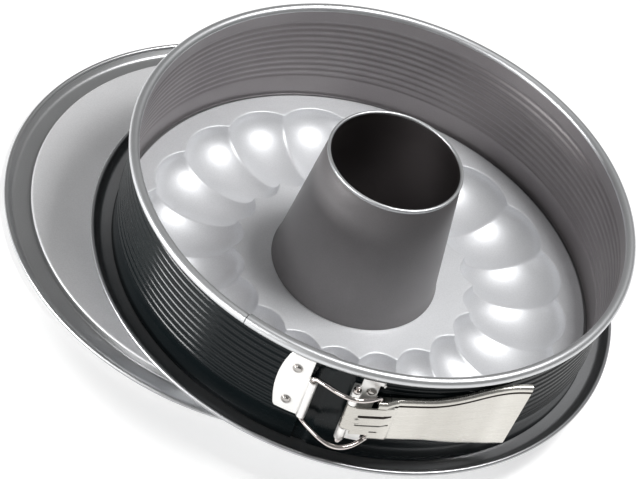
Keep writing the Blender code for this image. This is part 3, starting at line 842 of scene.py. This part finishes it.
def leverPress(run, z):
    # how far the face is pushed back at a run from the pin and a height from the middle
    v = lever
    ends = ease((run - v["strapRun"][0]) / v["strapEnd"]) * ease((v["strapRun"][1] - run) / v["strapEnd"])
    across = abs(z - v["strapMiddle"])
    past = across - v["strapHalf"]
    groove = sin(pi * past / v["grooveWidth"]) ** 2 if 0 < past < v["grooveWidth"] else 0
    strap = v["strapHeight"] * ease(1 - past / v["strapEdge"]) if past < v["strapEdge"] else 0
    dimpleRun, dimpleRadius, dimpleHeight = v["dimple"]
    away = 1 - ((run - dimpleRun) ** 2 + across ** 2) / dimpleRadius ** 2
    dimple = dimpleHeight * sqrt(away) if away > 0 and run > 0 else 0
    stepAt, stepDepth, stepRun = v["frameStep"]
    step = stepDepth * ease((run - stepAt) / stepRun)
    return v["grooveDepth"] * groove * ends - max(strap * ends, dimple) + step


def leverSection(fold, half, lift, hemDepth):
    # from the upper folded edge down the face to the lower one;
    # the rows beside tongueHalf and knuckleLow bound the slits
    r = lever["edgeRound"]
    t, low, slit = lever["tongueHalf"], lever["knuckleLow"], lever["slit"]
    corner = [(r - r * sin(radians(a)), half - r + r * cos(radians(a))) for a in spread(0, 90, 4)]
    side = [(fold, half), ((fold + r) / 2, half)] + corner
    line, wide = lever["hemLine"], lever["hemLineWidth"]
    hem = [(0, half - line + wide), (0, half - line), (0, half - line - wide)]
    face = [t + slit, t, 8.2, 7, 5.6, 4.7, 4.3, 3.9, 3.6, 3.3, 3.0, 2.7, 2.4, 2.0, 1.4, 0.7, 0, -0.7,
            -1.4, -2.0, -2.4, -2.7, -3.0, -3.3, -3.6, -3.9, -4.3, -4.7, -5.6, low, low - slit, -8.4, -t,
            (r - half - t) / 2]
    whole = side + hem + [(0, z) for z in face] + [(d, -z) for d, z in side[::-1]]
    presses = [hemDepth if j == len(side) + 1 else 0 for j in range(len(whole))]
    return [(d, z + lift) for d, z in whole], face, len(side) + len(hem), presses


def leverMesh():
    v = lever
    pinX, pinY = latch["pin"]
    lean = radians(degrees(atan2(pinY, pinX)) + v["tongueTurn"])
    start = (pinX + knuckleRadius * cos(lean), pinY + knuckleRadius * sin(lean))
    dx, dy = -sin(lean), cos(lean)
    runs = spread(0.7, v["stripFrom"], 4) + spread(v["stripFrom"], v["earFrom"], 18)[1:]
    firstEar = len(runs) - 1
    runs += spread(v["earFrom"], v["slitTo"], 8)[1:] + [v["earTo"]]
    tongue = [(start[0] + dx * s, start[1] + dy * s) for s in runs]
    handle = []
    shares = spread(v["handleFrom"], 0.31, 8) + spread(0.31, 1, 34)[1:]
    for u in shares:
        rise = v["rise"] * max(0, (v["riseUntil"] - u) / v["handleFrom"]) ** 2
        flare = v["flare"] * max(0, (u - v["flareFrom"]) / (1 - v["flareFrom"])) ** 2
        handle.append(byWall(pinX + u * v["length"], v["fromWall"] + rise + flare))
    # the path is the sheet's inner face; the tongue's start eases from the curl out to its own line
    curl = arc(pinX, pinY, knuckleRadius - plate, degrees(lean) - v["curlTurn"], degrees(lean), 26)
    for k, run in enumerate(runs):
        step = plate * (1 - ease(run / v["stripFrom"]))
        tongue[k] = (tongue[k][0] - cos(lean) * step, tongue[k][1] - sin(lean) * step)
    path = curl + tongue + handle
    grip = len(path) - len(handle)
    firstStrip = len(curl) + 4
    firstEar += len(curl)
    slitEnd = firstEar + 8
    sections, shear, columnRuns, presses = [], [], [], []
    for i, point in enumerate(path):
        run = hypot(point[0] - start[0], point[1] - start[1]) if i >= len(curl) else 0
        u = shares[i - grip] if i >= grip else 0
        onHandle = ease((run - v["earTo"]) / v["blendRun"])
        fold = v["earDepth"] + (v["hem"] - v["earDepth"]) * onHandle
        earHalf = v["tongueHalf"] + v["earWidth"]
        half = earHalf + (v["half"] - earHalf) * onHandle
        half += (v["endHalf"] - v["half"]) * ease((u - v["widenFrom"]) / v["widenRun"])
        section, face, edge, hemPress = leverSection(fold, half, v["lift"] * onHandle,
                                                     v["hemLineDepth"] * onHandle)
        presses.append([h + leverPress(run, z) * max(0, 1 - d / fold)
                        for h, (d, z) in zip(hemPress, section)])
        sections.append(section)
        columnRuns.append(run)
        shear.append(v["slant"] * max(0, (u - v["slantFrom"]) / (1 - v["slantFrom"])))
    front, back = bentColumns(path, 1, sections, shear, lambda i, j: presses[i][j])
    rowOf = {name: edge + face.index(z) for name, z in
             (("top", v["tongueHalf"]), ("low", v["knuckleLow"]), ("bottom", -v["tongueHalf"]))}

    def filled(i, j):
        if i >= slitEnd:
            return True
        if i >= firstEar:  # both slits, from the ears' ends on
            return j not in (rowOf["top"] - 1, rowOf["low"])
        return rowOf["top"] <= j < (rowOf["bottom"] if i >= firstStrip else rowOf["low"])

    def lookOf(i, j, side):
        # painted shade: the pressed grooves and the line under the hem take the dark look, on both faces, in
        # place of the shade that falls in them
        if side == 2 or i < len(curl):
            return 0
        if i >= grip:
            return 1 if j in (edge - 3, edge - 2) else 0
        past = abs((sections[i][j][1] + sections[i][j + 1][1]) / 2 - v["strapMiddle"]) - v["strapHalf"]
        pressed = v["strapRun"][0] < columnRuns[i] < v["strapRun"][1] - 0.6
        return 1 if pressed and 0 < past < v["grooveWidth"] - 0.2 else 0
    return sheetMesh(front, back, filled=filled, lookOf=lookOf)


def turnedAbout(point, centre, angle):
    c, s = cos(radians(angle)), sin(radians(angle))
    x, y = point[0] - centre[0], point[1] - centre[1]
    return (centre[0] + c * x - s * y, centre[1] + s * x + c * y)


def tipInLever(share):
    swung = turnedAbout(latch["hook"], latch["barrel"], -share * latch["wireTurn"])
    carried = turnedAbout(swung, latch["backHinge"], -share * latch["bandTurn"])
    return turnedAbout(carried, latch["pin"], share * latch["leverRange"])


def cutSlots(piece):
    # an open slot in each ear, along the way of the wire's tips
    for side in (1, -1):
        slot = bmesh.new()
        for share in spread(0, 1, 24):
            x, y = tipInLever(share)
            for z in (side * (lever["tongueHalf"] + 0.2), side * 30):
                for px, py in arc(x, y, latch["wireRadius"] + latch["turningGap"], 0, 345, 23):
                    slot.verts.new(atPan(px, py, latch["height"] + z))
        hull = bmesh.ops.convex_hull(slot, input=slot.verts)
        spare = {p for p in hull["geom_interior"] + hull["geom_unused"] if isinstance(p, bmesh.types.BMVert)}
        bmesh.ops.delete(slot, geom=list(spare), context="VERTS")
        data = bpy.data.meshes.new("slotTool")
        slot.to_mesh(data)
        slot.free()
        tool = bpy.data.objects.new("slotTool", data)
        bpy.context.scene.collection.objects.link(tool)
        cut = piece.modifiers.new("slot", "BOOLEAN")
        cut.solver = "EXACT"
        cut.object = tool
        bpy.context.view_layer.update()
        made = bpy.data.meshes.new_from_object(piece.evaluated_get(bpy.context.evaluated_depsgraph_get()))
        piece.modifiers.remove(cut)
        piece.data = made
        bpy.data.objects.remove(tool)


leverPiece = addPiece("leverPlate", leverMesh(), [looks["handleNickelWithPaintedReflection"], looks["paintedGrooveShade"]], "lever",
                      ["lever"], crease=32)
cutSlots(leverPiece)
soften = leverPiece.modifiers.new("edges", "BEVEL")
soften.width = 0.0002
soften.segments = 2
soften.limit_method = "ANGLE"
soften.angle_limit = radians(38)
print("lever made")

# wire bail
bail = {"earHalf": 12.4, "bow": 8.35, "spread": 3.0, "barrelHalf": 12.8, "sides": 18}


def bailMesh():
    ear = bail["earHalf"]
    wire = latch["wireRadius"]
    hook, barrel = latch["hook"], latch["barrel"]
    upper = [(*hook, ear - 2.0), (*hook, ear + wire), (hook[0] - 0.3, hook[1] - 1.1, ear + 2 * wire)]
    for share in (0.03, 0.09, 0.17, 0.27, 0.38, 0.5, 0.65, 0.79, 0.89):
        bulge = sin(pi * share ** 0.72) ** 1.25
        x, y = byWall(hook[0] + share * (barrel[0] - hook[0]), 2.9 + bail["bow"] * bulge)
        upper.append((x, y, ear + 2.6 + bail["spread"] * bulge ** 0.8))
    bx, by = barrel
    upper += [(bx + 1.5, by - 0.4, ear + 2.6), (bx + 0.3, by, ear + 1.9), (bx, by, bail["barrelHalf"] + 0.4),
              (bx, by, bail["barrelHalf"] / 2), (bx, by, 0)]
    path = upper + [(x, y, -z) for x, y, z in upper[-2::-1]]
    path = smoothCurve([atPan(x, y, latch["height"] + z) for x, y, z in path], 5)
    mesh = bmesh.new()
    side = Vector((1, 0, 0))
    rings = []
    for i, here in enumerate(path):
        ahead = (path[min(i + 1, len(path) - 1)] - path[max(i - 1, 0)]).normalized()
        side = (side - ahead * side.dot(ahead)).normalized()
        up = ahead.cross(side)
        rings.append([mesh.verts.new(here + wire / 1000 * (cos(t) * side + sin(t) * up))
                      for t in (2 * pi * k / bail["sides"] for k in range(bail["sides"]))])
    for a, b in zip(rings, rings[1:]):
        for k in range(bail["sides"]):
            n = (k + 1) % bail["sides"]
            mesh.faces.new((a[k], a[n], b[n], b[k]))
    mesh.faces.new(rings[0])
    mesh.faces.new(rings[-1])
    return mesh


addPiece("bailWire", bailMesh(), [looks["wireNickel"]], "bail", ["bail_wire"], crease=50)
print("latch made")

# studio: floor, world, lamps
studio = {
    "floorHalf": 6.0,
    "floorTone": 0.7,
    "floorLift": 0.5,
    "worldLevel": 0.22,
}


def whenSeen(add, seen, otherwise):
    # one level for what the camera and reflections see, another for the light that falls on things
    path = add("ShaderNodeLightPath")
    one = add("ShaderNodeMath", {0: path.outputs["Is Camera Ray"], 1: path.outputs["Is Glossy Ray"]},
              operation="MAXIMUM")
    two = add("ShaderNodeMath", {0: one.outputs[0], 1: path.outputs["Is Transmission Ray"]},
              operation="MAXIMUM")
    level = add("ShaderNodeMapRange", {"Value": two.outputs[0], "To Min": otherwise, "To Max": seen})
    return level.outputs[0]


floorMesh = bmesh.new()
bmesh.ops.create_grid(floorMesh, x_segments=8, y_segments=8, size=studio["floorHalf"])
floorData = bpy.data.meshes.new("studioFloor")
floorMesh.to_mesh(floorData)
floorMesh.free()
floorPiece = bpy.data.objects.new("studioFloor", floorData)
floorPiece.location.z = -0.0002
bpy.context.scene.collection.objects.link(floorPiece)
floorLook = bpy.data.materials.new("studioFloor")
floorLook.use_nodes = True
addFloor = nodeMaker(floorLook)
floorShader = floorLook.node_tree.nodes["Principled BSDF"]
floorShader.inputs["Base Color"].default_value = (studio["floorTone"],) * 3 + (1,)
floorShader.inputs["Roughness"].default_value = 0.9
floorShader.inputs["Specular IOR Level"].default_value = 0
lift = addFloor("ShaderNodeEmission", {"Strength": whenSeen(addFloor, studio["floorLift"], 0)})
both = addFloor("ShaderNodeAddShader", {0: floorShader.outputs[0], 1: lift.outputs[0]})
floorLook.node_tree.links.new(both.outputs[0], floorLook.node_tree.nodes["Material Output"].inputs["Surface"])
floorData.materials.append(floorLook)

world = bpy.data.worlds.new("studioWorld")
bpy.context.scene.world = world
world.use_nodes = True
background = world.node_tree.nodes["Background"]
background.inputs["Color"].default_value = (1, 1, 1, 1)
background.inputs["Strength"].default_value = studio["worldLevel"]

lamps = {
    # name: place, aim, width, height, watts
    "keyLamp": ((0.46, 0.12, 1.3), (0, 0, 0.04), 0.4, 0.4, 12.5),
    "frontLamp": ((-0.75, -1.2, 0.9), (0, 0, 0.04), 0.5, 0.5, 5),
    "streakLamp": ((-1.03, -0.62, 0.13), (-0.05, -0.1, 0.06), 0.6, 0.12, 12),
}
for name, (place, aim, width, height, watts) in lamps.items():
    data = bpy.data.lights.new(name, "AREA")
    data.shape = "RECTANGLE"
    data.size = width
    data.size_y = height
    data.energy = watts
    lamp = bpy.data.objects.new(name, data)
    lamp.location = place
    lamp.rotation_euler = (Vector(aim) - Vector(place)).to_track_quat("-Z", "Y").to_euler()
    lamp.visible_camera = False
    bpy.context.scene.collection.objects.link(lamp)

# camera
camera = {
    "right": (0.93335, 0.24685, 0.26061),
    "down": (0.35896, -0.64185, -0.67763),
    "ahead": (0, 0.72601, -0.68768),
    "place": (0.0038, -1.2290, 1.1847),
    "lens": 180,
}
cameraData = bpy.data.cameras.new("photoCamera")
cameraData.lens = camera["lens"]
cameraData.sensor_width = 36
cameraData.clip_end = 50
cameraPiece = bpy.data.objects.new("photoCamera", cameraData)
axes = Matrix((camera["right"], [-v for v in camera["down"]], [-v for v in camera["ahead"]])).transposed()
cameraPiece.matrix_world = Matrix.Translation(camera["place"]) @ axes.to_4x4()
bpy.context.scene.collection.objects.link(cameraPiece)
bpy.context.scene.camera = cameraPiece
bpy.context.scene.view_settings.view_transform = "Standard"
print("studio made")
